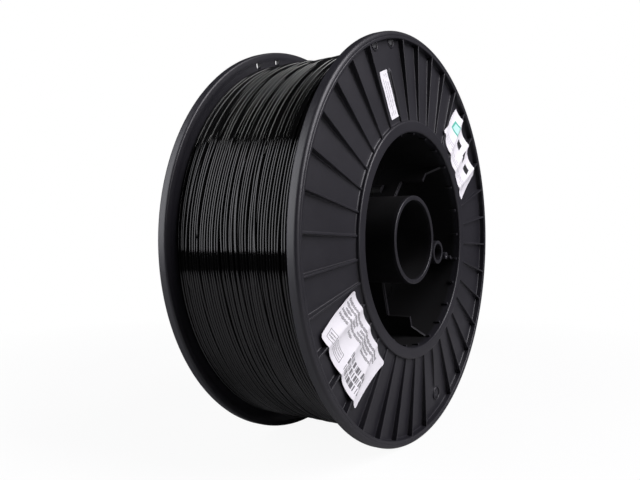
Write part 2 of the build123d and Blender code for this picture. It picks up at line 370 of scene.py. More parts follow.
def slotted_shell():
    """The shell with its slots cut through the web."""
    shell = Part()
    shell.add(*shell_grid())
    shell = shell.build("half_shell")
    cutter = Part()
    for angle in SLOT_ANGLES:
        outline = slot_outline(angle, grow=0.0, outer=129.9, steps=12)
        n = len(outline)
        verts = [(x, -HALF_WIDTH + depth, z) for depth in (-2.0, 12.0) for x, z in outline]
        faces = [range(n), range(2 * n - 1, n - 1, -1)]
        faces += [(i, (i + 1) % n, n + (i + 1) % n, n + i) for i in range(n)]
        cutter.add(verts, faces)
    cutter = cutter.build("cutter")
    boolean = shell.modifiers.new("slots", "BOOLEAN")
    boolean.object, boolean.operation, boolean.solver = cutter, "DIFFERENCE", "EXACT"
    depsgraph = bpy.context.evaluated_depsgraph_get()
    mesh = bpy.data.meshes.new_from_object(shell.evaluated_get(depsgraph), depsgraph=depsgraph)
    verts = np.zeros(len(mesh.vertices) * 3)
    mesh.vertices.foreach_get("co", verts)
    faces = [tuple(polygon.vertices) for polygon in mesh.polygons]
    bpy.data.objects.remove(shell)
    bpy.data.objects.remove(cutter)
    return verts.reshape(-1, 3) / MM, faces


# ------------------------------------------------------------------ details of one half
def add_slot_borders(part):
    # mm across the border, mm behind the web's face
    section = [(-0.62, 1.0), (-0.62, -0.28), (-0.5, -0.5), (-0.25, -0.62),
               (0.25, -0.62), (0.5, -0.5), (0.62, -0.28), (0.62, 1.0)]
    for angle in SLOT_ANGLES:
        path = np.array(slot_outline(angle, grow=0.62, outer=129.95, steps=18))
        tangent = np.gradient(path, axis=0)
        tangent /= np.linalg.norm(tangent, axis=1)[:, None]
        normal = np.stack([-tangent[:, 1], tangent[:, 0]], 1)
        verts = []
        for i in range(len(path)):
            web = web_depth(float(np.hypot(*path[i])))
            for offset, height in section:
                x, z = path[i] + normal[i] * offset
                verts.append((x, -HALF_WIDTH + web + height, z))
        part.add(verts, tube_faces(len(path), len(section)))


def add_round_mark(part):
    """A ring round a disc with twelve pips, beyond the outer end of a short rib."""
    mark_angle, mark_r = 160.5, 117.0
    centre = np.array(across(mark_angle, mark_r))
    web = web_depth(mark_r)
    part.add(*ring([(4.1, web + 0.6), (4.1, web - 0.5), (4.35, web - 0.75), (4.75, web - 0.75),
                    (5.0, web - 0.5), (5.0, web + 0.6)], 48, centre))
    part.add(*stud([(0, web - 0.35), (3.2, web - 0.35), (3.45, web - 0.2), (3.45, web + 0.7),
                    (0, web + 0.7)], 40, centre))
    pip = [(0, web - 0.6), (0.28, web - 0.58), (0.36, web - 0.45), (0.36, web + 0.3),
           (0, web + 0.3)]
    for k in range(12):
        part.add(*stud(pip, 10, centre + across(360 * k / 12, 2.45)))


def add_bore_tube(part):
    part.add(*ring([
        (BORE_R, 49.6), (BORE_R, 25.0), (BORE_R, 1.2), (BORE_R + 0.08, 0.9),
        (BORE_R + 0.3, 0.68), (BORE_R + 0.6, 0.6), (TUBE_R - 0.6, 0.6), (TUBE_R - 0.3, 0.68),
        (TUBE_R - 0.08, 0.9), (TUBE_R, 1.2), (TUBE_R, 25.0), (TUBE_R, 49.6),
        (TUBE_R - 0.35, 49.95), (BORE_R + 0.35, 49.95)], 192))


def add_gussets(part):
    """Three plates that carry the tube, each with a thicker inner part, and the locating bosses."""
    socket_angle, pin_angle, boss_distance = 42.0, 282.0, 48.0
    wall, root = HUB_R + 1.2, TUBE_R - 1.6
    for angle in (socket_angle, 162.0, pin_angle):
        # notched inside the wall of the socket boss, which leaves the socket clear
        notch = [(45.1, 49.94), (45.1, 42.6), (50.9, 42.6), (50.9, 49.94)]
        if angle != socket_angle:
            notch = []
        thin = [(wall, 0.2), (64.1, 12.8), (56.7, 12.8), (56.7, 29.6), (root, 29.6),
                (root, 49.94)] + notch + [(wall, 49.94)]
        thicker = [(56.1, 30.2), (59.9, 36.2), (61.5, 49.94)] + notch[::-1]
        thicker += [(root, 49.94), (root, 30.2)]
        part.add(*slab(thin, angle, 2.0, bevel=0.3))
        part.add(*slab(thicker, angle, 3.4, bevel=0.4))
    base = [(0, 42.0), (4.2, 42.0), (4.5, 42.12), (4.6, 42.4)]
    socket = [(4.6, 49.7), (4.4, 49.9), (2.8, 49.9), (2.6, 49.7), (2.6, 43.2), (2.4, 43.0),
              (0, 43.0)]
    pin = [(4.6, 49.9), (2.6, 49.9), (2.5, 50.0), (2.5, 55.0), (2.1, 55.9), (0, 56.0)]
    for angle, end in ((socket_angle, socket), (pin_angle, pin)):
        part.add(*stud(base + end, 40, across(angle, boss_distance)))


def add_drive_boss(part):
    """Boss round the drive hole, with a thin web to the hub wall that carries two studs."""
    boss_r, back = 8.2, 35.8
    part.add(*ring([
        (DRIVE_HOLE_R, back), (DRIVE_HOLE_R, 0.45), (DRIVE_HOLE_R + 0.08, 0.15),
        (DRIVE_HOLE_R + 0.3, 0.0), (boss_r - 0.4, 0.0), (boss_r - 0.12, 0.12), (boss_r, 0.45),
        (boss_r, back)], 64, across(DRIVE_ANGLE, DRIVE_DISTANCE)))
    start_r = DRIVE_DISTANCE + 6.8
    web_front, web_half_thick = 2.5, 0.6
    start = np.array(across(DRIVE_ANGLE, start_r))
    run = np.array(across(102.0, HUB_R + 0.7)) - start
    normal = np.array([-run[1], run[0]]) / float(np.hypot(*run))
    bm = bmesh.new()
    bmesh.ops.create_cube(bm, size=1.0)
    for vert in bm.verts:
        x, z = start + run * (vert.co.x + 0.5) + normal * web_half_thick * vert.co.y * 2
        depth = web_front + (vert.co.z + 0.5) * (back - web_front)
        vert.co = Vector((x, -HALF_WIDTH + depth, z))
    part.add(*bevelled(bm, 0.25, clamp=False))
    wide = [(0, 0.9), (0.8, 0.85), (1.15, 0.4), (1.5, 0.1), (2.1, 0.0), (2.45, 0.12),
            (2.6, 0.45), (2.6, back), (0, back)]
    narrow = [(0, 0.0), (0.7, 0.03), (1.05, 0.2), (1.2, 0.55), (1.2, back), (0, back)]
    for radius, profile in ((52.0, wide), (60.2, narrow)):
        part.add(*stud(profile, 36, start + run * ((radius - start_r) / (HUB_R - start_r))))


def add_hub_ribs(part):
    """Short tapered ribs round the hub opening."""
    outline = [(HUB_R + 0.9, -0.5), (69.5, -0.35), (69.4, 0.6), (70.5, 4.6), (HUB_R + 0.9, 5.0)]
    for k in range(24):
        part.add(*slab(outline, 12.0 + 15.0 * k, 1.5, bevel=0.25))


def weight_normals(obj):
    obj.modifiers.new("weighted", "WEIGHTED_NORMAL").keep_sharp = True


def build_halves():
    part = Part()
    part.add(*slotted_shell())
    for add in (add_slot_borders, add_round_mark, add_bore_tube, add_gussets, add_drive_boss,
                add_hub_ribs):
        add(part)
    front = part.build("front_half_shell", sharp=38.0)
    weight_normals(front)
    mesh = front.data.copy()
    x, z = across(FLIP_ANGLE, 1.0)
    mesh.transform(Matrix.Rotation(math.pi, 4, Vector((x, 0, z))))
    rear = bpy.data.objects.new("rear_half_shell", mesh)
    bpy.context.scene.collection.objects.link(rear)
    weight_normals(rear)
    return front, rear


# ------------------------------------------------------------------ the winding
def noise(place, seed):
    """Smooth seeded noise of one variable in two octaves, about -1 to 1."""
    draws = np.random.default_rng(seed)
    total = np.zeros_like(place)
    for factor, strength in ((1, 1.0), (2, 0.5)):
        values = draws.uniform(-1, 1, int(np.ceil(place.max() * factor)) + 4)
        i = np.floor(place * factor).astype(int)
        blend = ease(place * factor - i)
        total += strength * (values[i] * (1 - blend) + values[i + 1] * blend)
    return total / 1.5


def add_strand(part, radians, y, radius, sides):
    """A round strand about the spool axis; its UVs are mm along it and radians round it."""
    centres = polar(radius, radians, y)
    tangent = np.gradient(centres, axis=0)
    tangent /= np.linalg.norm(tangent, axis=1)[:, None]
    up = polar(1.0, radians, 0 * radians)
    up -= (up * tangent).sum(1)[:, None] * tangent
    up /= np.linalg.norm(up, axis=1)[:, None]
    side = np.cross(tangent, up)
    count = len(centres)
    turn = np.linspace(0, 2 * math.pi, sides, endpoint=False)
    circle = (np.cos(turn)[None, :, None] * up[:, None, :]
              + np.sin(turn)[None, :, None] * side[:, None, :])
    verts = centres[:, None, :] + STRAND_R * 0.995 * circle
    steps = np.linalg.norm(np.diff(centres, axis=0), axis=1)
    length = np.concatenate([[0], np.cumsum(steps)])
    uvs = np.stack([np.repeat(length[:, None], sides, 1), np.repeat(turn[None, :], count, 0)], -1)
    part.add(verts, tube_faces(count, sides), uvs.reshape(-1, 2))


def crown(y):
    """How far the winding stands above its mean radius across the width."""
    return np.interp(y, [-43, -34, -22, -8, 6, 22, 43],
                     [0.0, 0.25, 0.45, -0.25, -0.55, 0.15, 0.35])


def add_layer(part, turns, half, outer_r, seed, steps, sides, gaps, crowning):
    """Turns side by side in bundles, with gaps that widen and close round the spool."""
    turn = np.arange(turns * steps + 1) / steps
    radians = turn * 2 * math.pi
    jitter = np.random.default_rng(seed).uniform(0.2, 0.8, gaps)
    cuts = np.sort((np.arange(gaps) + jitter) * turns / gaps)

    def spread(place):
        """y before scaling to the width, for a place counted in turns."""
        y = place * 2 * STRAND_R
        draws = np.random.default_rng(seed + 1)
        for cut in cuts:
            width = draws.uniform(0.3, 1.1)
            slow, quick = int(draws.integers(1, 4)), int(draws.integers(4, 9))
            slow_swing, quick_swing = draws.uniform(0.3, 0.7), draws.uniform(0.1, 0.4)
            slow_phase, quick_phase = draws.uniform(0, 6.28), draws.uniform(0, 6.28)
            gap = width * (1 + slow_swing * np.sin(slow * radians + slow_phase)
                           + quick_swing * np.sin(quick * radians + quick_phase))
            wander = 0.35 * np.sin(quick * radians + slow_phase)
            y = y + gap * ease(np.clip((place - cut - wander) / 0.8 + 0.5, 0, 1))
        return y

    low, high = spread(0 * turn), spread(0 * turn + turns - 1.0)
    limit = half - STRAND_R
    y = -half + STRAND_R + (spread(turn - 0.5) - low) / (high - low) * 2 * limit
    y = np.clip(y, -half + STRAND_R, limit)
    y = y + 0.10 * noise(turn * 7.7, seed + 9) * (np.abs(y) < half - 2.5)
    # each turn lies a little deeper or shallower than the next
    per_turn = np.random.default_rng(seed + 7).normal(0, 0.33, turns + 2)
    k = np.floor(turn).astype(int)
    blend = ease(turn - k)
    drop = -np.abs(per_turn[k] * (1 - blend) + per_turn[k + 1] * blend)
    # the ends of the layer lie against the flanges and tuck under their neighbours
    apart = np.full_like(y, 9.0)
    apart[:steps] = y[steps:2 * steps] - y[:steps]
    apart[-steps:] = y[-steps:] - y[-2 * steps:-steps]
    tuck = np.sqrt(np.clip((2 * STRAND_R) ** 2 - np.clip(apart, 0.0, 9) ** 2, 0, None))
    drop = drop - tuck * (np.minimum(turn, turns - turn) < 0.6)
    radius = outer_r - STRAND_R + drop + 0.2 * noise(turn * 5.3, seed + 5) - 0.02 + crowning(y)
    add_strand(part, radians + WIND_START, y, radius, sides)


# turns that climb over their neighbours: start angle, arc in degrees, start y, shift in y
CROSSINGS = [
    (205.0, 95.0, -6.0, 5.5), (300.0, 70.0, -31.0, 5.0), (262.0, 80.0, 27.0, -5.0),
    (236.0, 66.0, -18.0, 4.5), (288.0, 62.0, 13.0, -4.0), (252.0, 54.0, 36.0, -3.5),
    (20.0, 90.0, 10.0, 6.5), (95.0, 70.0, -22.0, -5.0), (150.0, 60.0, 20.0, 4.0),
]


def build_outer_strand():
    part = Part()
    add_layer(part, turns=45, half=WIND_HALF, outer_r=WIND_R, seed=21, steps=170, sides=10,
              gaps=12, crowning=crown)
    for start, sweep, start_y, shift in CROSSINGS:
        along = np.linspace(0, 1, 60)
        y = start_y + shift * ease(along)
        climb = ease(np.clip(np.minimum(along, 1 - along) / 0.16, 0, 1))
        radius = WIND_R - STRAND_R + crown(y) - 1.9 + 2.6 * climb
        add_strand(part, np.radians(start + sweep * along), y, radius, sides=10)
    return part.build("filament_outer_strand", uv=True)


def build_inner_strands():
    """The second layer, over a solid pack whose surface shows its turns."""
    turns = 49
    part = Part()
    add_layer(part, turns=turns, half=WIND_HALF - 0.2, outer_r=WIND_R - 1.8, seed=5, steps=110,
              sides=7, gaps=4, crowning=lambda y: crown(y) * 0.8)
    core_r, half = WIND_R - 4.0, WIND_HALF - 0.1
    pitch = 2 * half / turns
    # radius, y
    profile = [(75.6, -(PACK_HALF - 0.1)), (98.0, -(PACK_HALF - 2.0)), (core_r - 0.8, -half)]
    for k in range(turns):
        for x in np.radians((160, 120, 90, 60, 20)):
            profile.append((core_r - 0.85 + 0.87 * math.sin(x),
                            -half + (k + 0.5) * pitch + 0.87 * math.cos(x)))
    profile += [(core_r - 0.8, half), (98.0, PACK_HALF - 2.0), (75.6, PACK_HALF - 0.1)]
    part.add(revolve(profile, 96), grid_faces(len(profile), 96))
    return part.build("filament_inner_strands", sharp=50, uv=True)


# ------------------------------------------------------------------ paper labels
def placed_sheet(length, height, corner, columns, rows, angle, centre_r, tilt):
    """A rounded rectangle as a grid: its own mm, u and v, and its place, x, z and radius."""
    u, v = np.meshgrid(np.linspace(-length / 2, length / 2, columns),
                       np.linspace(-height / 2, height / 2, rows), indexing="ij")
    over_u = (np.abs(u) - (length / 2 - corner)) / corner
    over_v = (np.abs(v) - (height / 2 - corner)) / corner
    in_corner = (over_u > 0) & (over_v > 0)
    round_u = over_u * np.sqrt(np.clip(1 - over_v * over_v / 2, 0, 1))
    round_v = over_v * np.sqrt(np.clip(1 - over_u * over_u / 2, 0, 1))
    u = np.where(in_corner, np.sign(u) * (length / 2 - corner + corner * round_u), u)
    v = np.where(in_corner, np.sign(v) * (height / 2 - corner + corner * round_v), v)
    cosine, sine = math.cos(math.radians(tilt)), math.sin(math.radians(tilt))
    x, z = across(angle, centre_r + (sine * u + cosine * v), cosine * u - sine * v)
    return u, v, x, z, np.hypot(x, z)


def build_sheet(name, u, v, x, z, proud):
    """Paper with its back proud of the rim plane; the back's UVs lie far off the print."""
    columns, rows = u.shape
    n = columns * rows
    quads = grid_faces(columns, rows, False, False)
    faces = list(quads) + list(quads[:, ::-1] + n)
    rim = [i * rows for i in range(columns)]
    rim += [(columns - 1) * rows + j for j in range(1, rows)]
    rim += [i * rows + rows - 1 for i in range(columns - 2, -1, -1)]
    rim += list(range(rows - 2, 0, -1))
    for here, there in zip(rim, rim[1:] + rim[:1]):
        faces.append((here, there, there + n, here + n))
    uvs = np.stack([u, v], -1).reshape(-1, 2)
    back_y = -HALF_WIDTH - proud
    verts = [np.stack([x, y, z], -1).reshape(-1, 3) for y in (back_y - PAPER_THICK, back_y)]
    part = Part()
    part.add(np.concatenate(verts), faces, np.concatenate([uvs, uvs + [0, 1000.0]]))
    return part.build(name, sharp=60, uv=True)


def build_rib_label(name, angle, centre_r, length, height, tilt, sag, lift, corner, seed):
    """Paper stuck over the rib tops: it sags into the bays between them."""
    u, v, x, z, radius = placed_sheet(length, height, corner, 150, 90, angle, centre_r, tilt)
    to_ribs = (np.degrees(np.arctan2(x, z))[..., None] - np.array(FULL_RIBS) + 180) % 360 - 180
    from_rib = np.radians(np.abs(to_ribs).min(-1)) * radius
    half_bay = np.radians(RIB_PITCH / 2) * radius
    top, web = -rib_depth(radius), -web_depth(radius)
    deepest = np.minimum(sag, (top - web) - 0.12)
    into_bay = np.clip((from_rib - 0.55) / (half_bay - 0.55), 0, 1)
    proud = top - deepest * (1 - (1 - into_bay) ** 2.1)
    draws = np.random.default_rng(seed)
    for _ in range(6):
        wave_u, wave_v = draws.uniform(-0.45, 0.45), draws.uniform(-0.45, 0.45)
        phase = draws.uniform(0, 6.3)
        proud = proud + 0.035 * np.sin(wave_u * u + wave_v * v + phase)
    # edges and corners lift
    edge_u = np.clip((np.abs(u) - (length / 2 - 6)) / 6, 0, 1)
    edge_v = np.clip((np.abs(v) - (height / 2 - 5)) / 5, 0, 1)
    proud = proud + lift + 0.35 * edge_u * edge_v + 0.05 * (edge_u + edge_v)
    proud = np.maximum(proud, np.where(from_rib < 0.8, top + 0.03, web + 0.1))
    return build_sheet(name, u, v, x, z, proud)


def build_strip_label():
    """A narrow label lying on the web in the gap between two ribs."""
    u, v, x, z, radius = placed_sheet(length=9.9, height=30.0, corner=0.7, columns=30, rows=80,
                                      angle=338.4, centre_r=97.1, tilt=1.2)
    ripple = 0.03 * np.sin(u * 0.5 + v * 0.2) + 0.05 * np.sin(v * 0.33 + 1.0)
    corners = np.clip((np.abs(v) - 13.0) / 2.0, 0, 1) * np.clip((np.abs(u) - 3.0) / 2.0, 0, 1)
    proud = -web_depth(radius) + 0.1 + ripple + 0.22 * corners
    return build_sheet("strip_label_paper", u, v, x, z, proud)


# ------------------------------------------------------------------ shader helpers
class Value:
    """Node arithmetic, so that a pattern reads as a formula."""

    def __init__(self, tree, socket):
        self.tree, self.socket = tree, socket

    def _math(self, operation, *others):
        inputs = dict(enumerate((self,) + others))
        node = add_node(self.tree, "ShaderNodeMath", inputs, operation=operation)
        return Value(self.tree, node.outputs[0])

    def __add__(self, other): return self._math("ADD", other)
    def __sub__(self, other): return self._math("SUBTRACT", other)
    def __mul__(self, other): return self._math("MULTIPLY", other)
    def __truediv__(self, other): return self._math("DIVIDE", other)
    def __rsub__(self, other): return (self * -1.0) + other
    def abs(self): return self._math("ABSOLUTE")
    def floor(self): return self._math("FLOOR")
    def fract(self): return self._math("FRACT")
    def sin(self): return self._math("SINE")
    def sqrt(self): return self._math("SQRT")
    def above(self, other): return self._math("GREATER_THAN", other)
    def below(self, other): return self._math("LESS_THAN", other)
    def max(self, other): return self._math("MAXIMUM", other)
    def min(self, other): return self._math("MINIMUM", other)
    def pow(self, other): return self._math("POWER", other)
    def clamp(self): return self.max(0.0).min(1.0)


def set_inputs(tree, node, inputs):
    """Links an input to a Value or socket, or sets it to a plain value."""
    for key, source in inputs.items():
        if isinstance(source, Value):
            source = source.socket
        if isinstance(source, bpy.types.NodeSocket):
            tree.links.new(source, node.inputs[key])
        else:
            node.inputs[key].default_value = source


def add_node(tree, kind, inputs=None, **settings):
    node = tree.nodes.new(kind)
    for key, value in settings.items():
        setattr(node, key, value)
    set_inputs(tree, node, inputs or {})
    return node


def new_material(name):
    material = bpy.data.materials.new(name)
    material.use_nodes = True
    tree = material.node_tree
    tree.nodes.clear()
    output = add_node(tree, "ShaderNodeOutputMaterial")
    bsdf = add_node(tree, "ShaderNodeBsdfPrincipled")
    tree.links.new(bsdf.outputs[0], output.inputs[0])
    return material, tree, bsdf


def noise_texture(tree, vector, scale, detail, roughness):
    node = add_node(tree, "ShaderNodeTexNoise", {
        "Scale": scale, "Detail": detail, "Roughness": roughness, "Vector": vector})
    return Value(tree, node.outputs["Fac"])


def ramp(tree, factor, *stops):
    """A colour ramp of two (position, colour) stops."""
    node = add_node(tree, "ShaderNodeValToRGB", {"Fac": factor})
    for element, (position, colour) in zip(node.color_ramp.elements, stops):
        element.position = position
        element.color = (*colour, 1.0)
    return node.outputs["Color"]


def mix_colour(tree, factor, first, second):
    first, second = ((*c, 1.0) if isinstance(c, tuple) else c for c in (first, second))
    node = add_node(tree, "ShaderNodeMix", {"Factor": factor, 6: first, 7: second},
                    data_type="RGBA")
    return node.outputs[2]


def bump(tree, height, strength, distance, normal=None):
    inputs = {"Strength": strength, "Distance": distance, "Height": height}
    if normal is not None:
        inputs["Normal"] = normal
    return add_node(tree, "ShaderNodeBump", inputs).outputs["Normal"]


def split(tree, vector):
    node = add_node(tree, "ShaderNodeSeparateXYZ", {0: vector})
    return tuple(Value(tree, output) for output in node.outputs)


# ------------------------------------------------------------------ materials
def plastic_material():
    """Satin moulded plastic, with painted shade on the walls inside the hub: a darker colour there
    and a weaker, rougher reflection.
    """
    material, tree, bsdf = new_material("spool_plastic")
    place = add_node(tree, "ShaderNodeTexCoord").outputs["Object"]
    grain = noise_texture(tree, place, scale=2600.0, detail=2.0, roughness=0.6)
    cloud = noise_texture(tree, place, scale=26.0, detail=4.0, roughness=0.55)
    fine = noise_texture(tree, place, scale=420.0, detail=4.0, roughness=0.6)
    tint = ramp(tree, cloud * 0.7 + fine * 0.3,
                (0.3, (0.0110, 0.0105, 0.0138)), (0.7, (0.0160, 0.0154, 0.0196)))
    roughness = cloud * 0.10 + fine * 0.06 + 0.34
    # painted shade: inside this radius and behind the hub's mouth, on faces that don't look along
    # the axis
    hub_radius, mouth_y, mouth_fade = 0.0713, 0.0492, 0.003
    x, y, z = split(tree, place)
    _, normal_y, _ = split(tree, add_node(tree, "ShaderNodeNewGeometry").outputs["Normal"])
    painted_hub_shade = (hub_radius - (x * x + z * z).sqrt()).above(0.0)
    painted_hub_shade = painted_hub_shade * ((mouth_y - y.abs()) / mouth_fade).clamp()
    painted_hub_shade = painted_hub_shade * (1.0 - ((normal_y.abs() - 0.25) / 0.4).clamp())
    normal = bump(tree, grain, strength=0.18, distance=0.00004)
    # the painted hub shade darkens the base colour, roughens the surface and lowers the specular
    # level
    set_inputs(tree, bsdf, {
        "Roughness": roughness + painted_hub_shade * 0.2,
        "Specular IOR Level": 0.5 - painted_hub_shade * 0.30,
        "Base Color": mix_colour(tree, painted_hub_shade, tint, (0.0055, 0.0054, 0.0057)),
        "Normal": bump(tree, fine, strength=0.06, distance=0.0002, normal=normal)})
    return material


def filament_material():
    """Glossy extruded filament, with streaks drawn out along the strand."""
    material, tree, bsdf = new_material("filament")
    coords = add_node(tree, "ShaderNodeTexCoord")
    stretched = add_node(tree, "ShaderNodeMapping", {
        "Scale": (0.02, 1.2, 1.0), "Vector": coords.outputs["UV"]}).outputs[0]
    streak = noise_texture(tree, stretched, scale=3.0, detail=3.0, roughness=0.55)
    spots = noise_texture(tree, coords.outputs["Object"], scale=900.0, detail=2.0, roughness=0.5)
    set_inputs(tree, bsdf, {
        "Base Color": ramp(tree, streak, (0.3, (0.0016,) * 3), (0.75, (0.0032,) * 3)),
        "Roughness": streak * 0.04 + spots * 0.02 + 0.045,
        "Specular IOR Level": 0.5,
        "Normal": bump(tree, streak * 0.6 + spots * 0.4, strength=0.05, distance=0.00006)})
    return material


def paper_material(name, ink):
    """Label paper; ink(tree, u, v, base) prints on it, with u and v in mm."""
    material, tree, bsdf = new_material(name)
    coords = add_node(tree, "ShaderNodeTexCoord")
    place = coords.outputs["Object"]
    u, v, _ = split(tree, coords.outputs["UV"])
    fibre = noise_texture(tree, place, scale=700.0, detail=4.0, roughness=0.6)
    tone = noise_texture(tree, place, scale=40.0, detail=2.0, roughness=0.5)
    base = ramp(tree, fibre * 0.6 + tone * 0.4,
                (0.25, (0.82, 0.81, 0.83)), (0.8, (0.90, 0.89, 0.91)))
    set_inputs(tree, bsdf, {
        "Base Color": ink(tree, u, v, base),
        "Roughness": fibre * 0.15 + 0.45,
        "Specular IOR Level": 0.4,
        "Normal": bump(tree, fibre, strength=0.15, distance=0.00005)})
    return material


def rect(x, y, centre, size, soft=0.08):
    inside_x = ((size[0] / 2 - (x - centre[0]).abs()) / soft + 0.5).clamp()
    inside_y = ((size[1] / 2 - (y - centre[1]).abs()) / soft + 0.5).clamp()
    return inside_x * inside_y


def outline_box(x, y, centre, size, line=0.35):
    inner = (size[0] - 2 * line, size[1] - 2 * line)
    return rect(x, y, centre, size) - rect(x, y, centre, inner)


def scatter(cell, row, cell_factor, row_factor, seed, scale):
    """A repeatable random number, 0 to 1, for each cell of each row."""
    return ((cell * cell_factor + row * row_factor + seed).sin() * scale).fract()


def dashes(x, y, centre, width, rows, pitch, seed, word=2.6, fill=0.62, height=0.55):
    """Rows of broken strokes that read as print from a distance and hold no letters."""
    stroke = 0.62
    row = ((centre[1] - y) / pitch + rows / 2).floor()
    inside = row.above(-0.5) * row.below(rows - 0.5)
    inside = inside * rect(x, y, centre, (width, rows * pitch + 1))
    across_row = ((centre[1] - y) / pitch + rows / 2).fract()
    line = (across_row - 0.5).abs().below(height / 2)
    word_cell = ((x + row * 1.37) / word).floor()
    word_on = scatter(word_cell, row, 12.9898, 78.233, seed, 43758.5453).below(fill + 0.2)
    stroke_cell = ((x + row * 0.31) / stroke).floor()
    chance = scatter(stroke_cell, row, 39.346, 11.135, seed, 24634.6345)
    gap = (((x + row * 0.31) / stroke).fract() - 0.5).abs().below(0.36)
    tall = (across_row - 0.5).abs().below(height / 2 * 0.62).max(chance.above(0.55))
    return inside * line * word_on * gap * tall


def front_ink(tree, x, y, base):
    """A green tile, three equal black blocks and small print."""
    tile = (-18.0, 5.8)
    colour = mix_colour(tree, rect(x, y, tile, (10.0, 10.0), soft=0.3), base, (0.07, 0.47, 0.36))
    colour = mix_colour(tree, rect(x, y, tile, (6.8, 6.8), soft=0.3), colour, (0.52, 0.84, 0.77))
    block = (6.2, 7.4)
    blocks = rect(x, y, (-5.2, 5.8), block)
    for block_x in (5.6, 16.4):
        blocks = blocks.max(rect(x, y, (block_x, 5.8), block))
    colour = mix_colour(tree, blocks, colour, (0.012, 0.012, 0.013))
    small = dashes(x, y, (1.0, -11.6), width=48.0, rows=3, pitch=2.3, seed=3.0, height=0.7)
    return mix_colour(tree, small * 0.5, colour, (0.25, 0.25, 0.26))


def data_ink(tree, u, v, base):
    """Lines of print, two framed boxes and a block of bars, read with the hub side up."""
    x, y = u * -1.0, v * -1.0
    ink = dashes(x, y, (-2.5, 12.4), width=49.0, rows=2, pitch=3.0, seed=7.0,
                 word=3.4, fill=0.78, height=0.74)
    ink = ink.max(dashes(x, y, (-4.0, 6.9), width=46.0, rows=2, pitch=2.7, seed=5.0,
                         word=3.1, fill=0.72, height=0.74))
    ink = ink.max(dashes(x, y, (-17.0, 2.2), width=20.0, rows=1, pitch=2.8, seed=9.0,
                         height=0.72))
    small_box, wide_box = (-22.3, -12.0), (-11.0, -12.0)
    ink = ink.max(outline_box(x, y, small_box, (6.6, 6.4)))
    ink = ink.max(dashes(x, y, small_box, width=4.6, rows=2, pitch=1.9, seed=4.0,
                         word=1.2, fill=0.9))
    ink = ink.max(outline_box(x, y, wide_box, (12.0, 6.4)))
    ink = ink.max(dashes(x, y, wide_box, width=10.4, rows=3, pitch=1.7, seed=6.0,
                         fill=0.8) * 0.7)
    # rows of random bars
    bar_width, row_start, row_pitch = 0.42, 16.0, 4.9
    row = ((y + row_start) / row_pitch).floor()
    in_row = (((y + row_start) / row_pitch).fract() - 0.5).abs().below(0.40)
    chance = (((x / bar_width).floor() * 12.9898 + row * 37.7).sin() * 43758.5453).fract()
    bars = rect(x, y, (10.6, -8.6), (23.0, 14.4)) * in_row * chance.above(0.42)
    return mix_colour(tree, ink.max(bars) * 0.86, base, (0.05, 0.05, 0.055))


def strip_ink(tree, x, y, base):
    """Print running along the strip."""
    text = dashes(y, x, (0.0, 0.0), width=26.0, rows=3, pitch=2.4, seed=2.0)
    return mix_colour(tree, text * 0.55, base, (0.15, 0.15, 0.16))


# ------------------------------------------------------------------ the product
front, rear = build_halves()
outer = build_outer_strand()
inner = build_inner_strands()
front_label = build_rib_label(
    "front_label_paper", angle=50.0, centre_r=100.9, length=58.6, height=37.7, tilt=-5.4,
    sag=3.39, lift=0.05, corner=1.2, seed=3)
data_label = build_rib_label(
    "data_label_paper", angle=231.9, centre_r=100.35, length=58.0, height=37.4, tilt=-1.5,
    sag=2.3, lift=0.2, corner=2.2, seed=4)
strip_label = build_strip_label()

plastic = plastic_material()
filament = filament_material()
front_print = paper_material("front_label_print", front_ink)
data_print = paper_material("data_label_print", data_ink)
strip_print = paper_material("strip_label_print", strip_ink)

# object, its material, the frame node it replaces, slot
for obj, material, node, slot in (
    (front, plastic, "front_half", "spool_plastic"),
    (rear, plastic, "rear_half", "spool_plastic"),
    (outer, filament, "filament_outer_turns", "filament"),
    (inner, filament, "filament_inner_layers", "filament"),
    (front_label, front_print, "front_label", "label_paper"),
    (data_label, data_print, "data_label", "label_paper"),
    (strip_label, strip_print, "strip_label", "label_paper"),
):
    obj.data.materials.append(material)
    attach(obj, "root")
    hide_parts(node)

# ------------------------------------------------------------------ floor and world, in metres
scene = bpy.context.scene
FLOOR_X, FLOOR_Y, FLOOR_R, FLOOR_SIDES = 0.12, 0.10, 0.62, 96


def floor_material():
    """Shows almost pure white to the camera, less so far out, and mid grey to other rays."""
    fade_start, fade_width = 0.26, 0.30
    material, tree, bsdf = new_material("floor_paint")
    output = next(node for node in tree.nodes if node.type == "OUTPUT_MATERIAL")
    glow = add_node(tree, "ShaderNodeEmission", {"Color": (1, 1, 1, 1), "Strength": 1.0})
    light_path = add_node(tree, "ShaderNodeLightPath")
    coords = add_node(tree, "ShaderNodeTexCoord")
    camera_ray = Value(tree, light_path.outputs["Is Camera Ray"])
    set_inputs(tree, bsdf, {
        "Roughness": 0.6,
        "Base Color": mix_colour(tree, camera_ray, (0.36, 0.36, 0.36), (0.96, 0.96, 0.96))})
    x, y, _ = split(tree, coords.outputs["Object"])
    radius = ((x - FLOOR_X) * (x - FLOOR_X) + (y - FLOOR_Y) * (y - FLOOR_Y)).sqrt()
    fade = ((radius - fade_start) / fade_width).clamp()
    mix = add_node(tree, "ShaderNodeMixShader", {
        0: camera_ray * (fade * 0.07 + 0.93), 1: bsdf.outputs[0], 2: glow.outputs[0]})
    tree.links.new(mix.outputs[0], output.inputs[0])
    return material


def build_floor():
    mesh = bpy.data.meshes.new("floor")
    turns = [2 * math.pi * k / FLOOR_SIDES for k in range(FLOOR_SIDES)]
    verts = [(FLOOR_X + FLOOR_R * math.cos(turn), FLOOR_Y + FLOOR_R * math.sin(turn),
              cad_box[0][2]) for turn in turns]
    mesh.from_pydata(verts, [], [tuple(range(FLOOR_SIDES))])
    obj = bpy.data.objects.new("floor", mesh)
    scene.collection.objects.link(obj)
    mesh.materials.append(floor_material())
    return obj


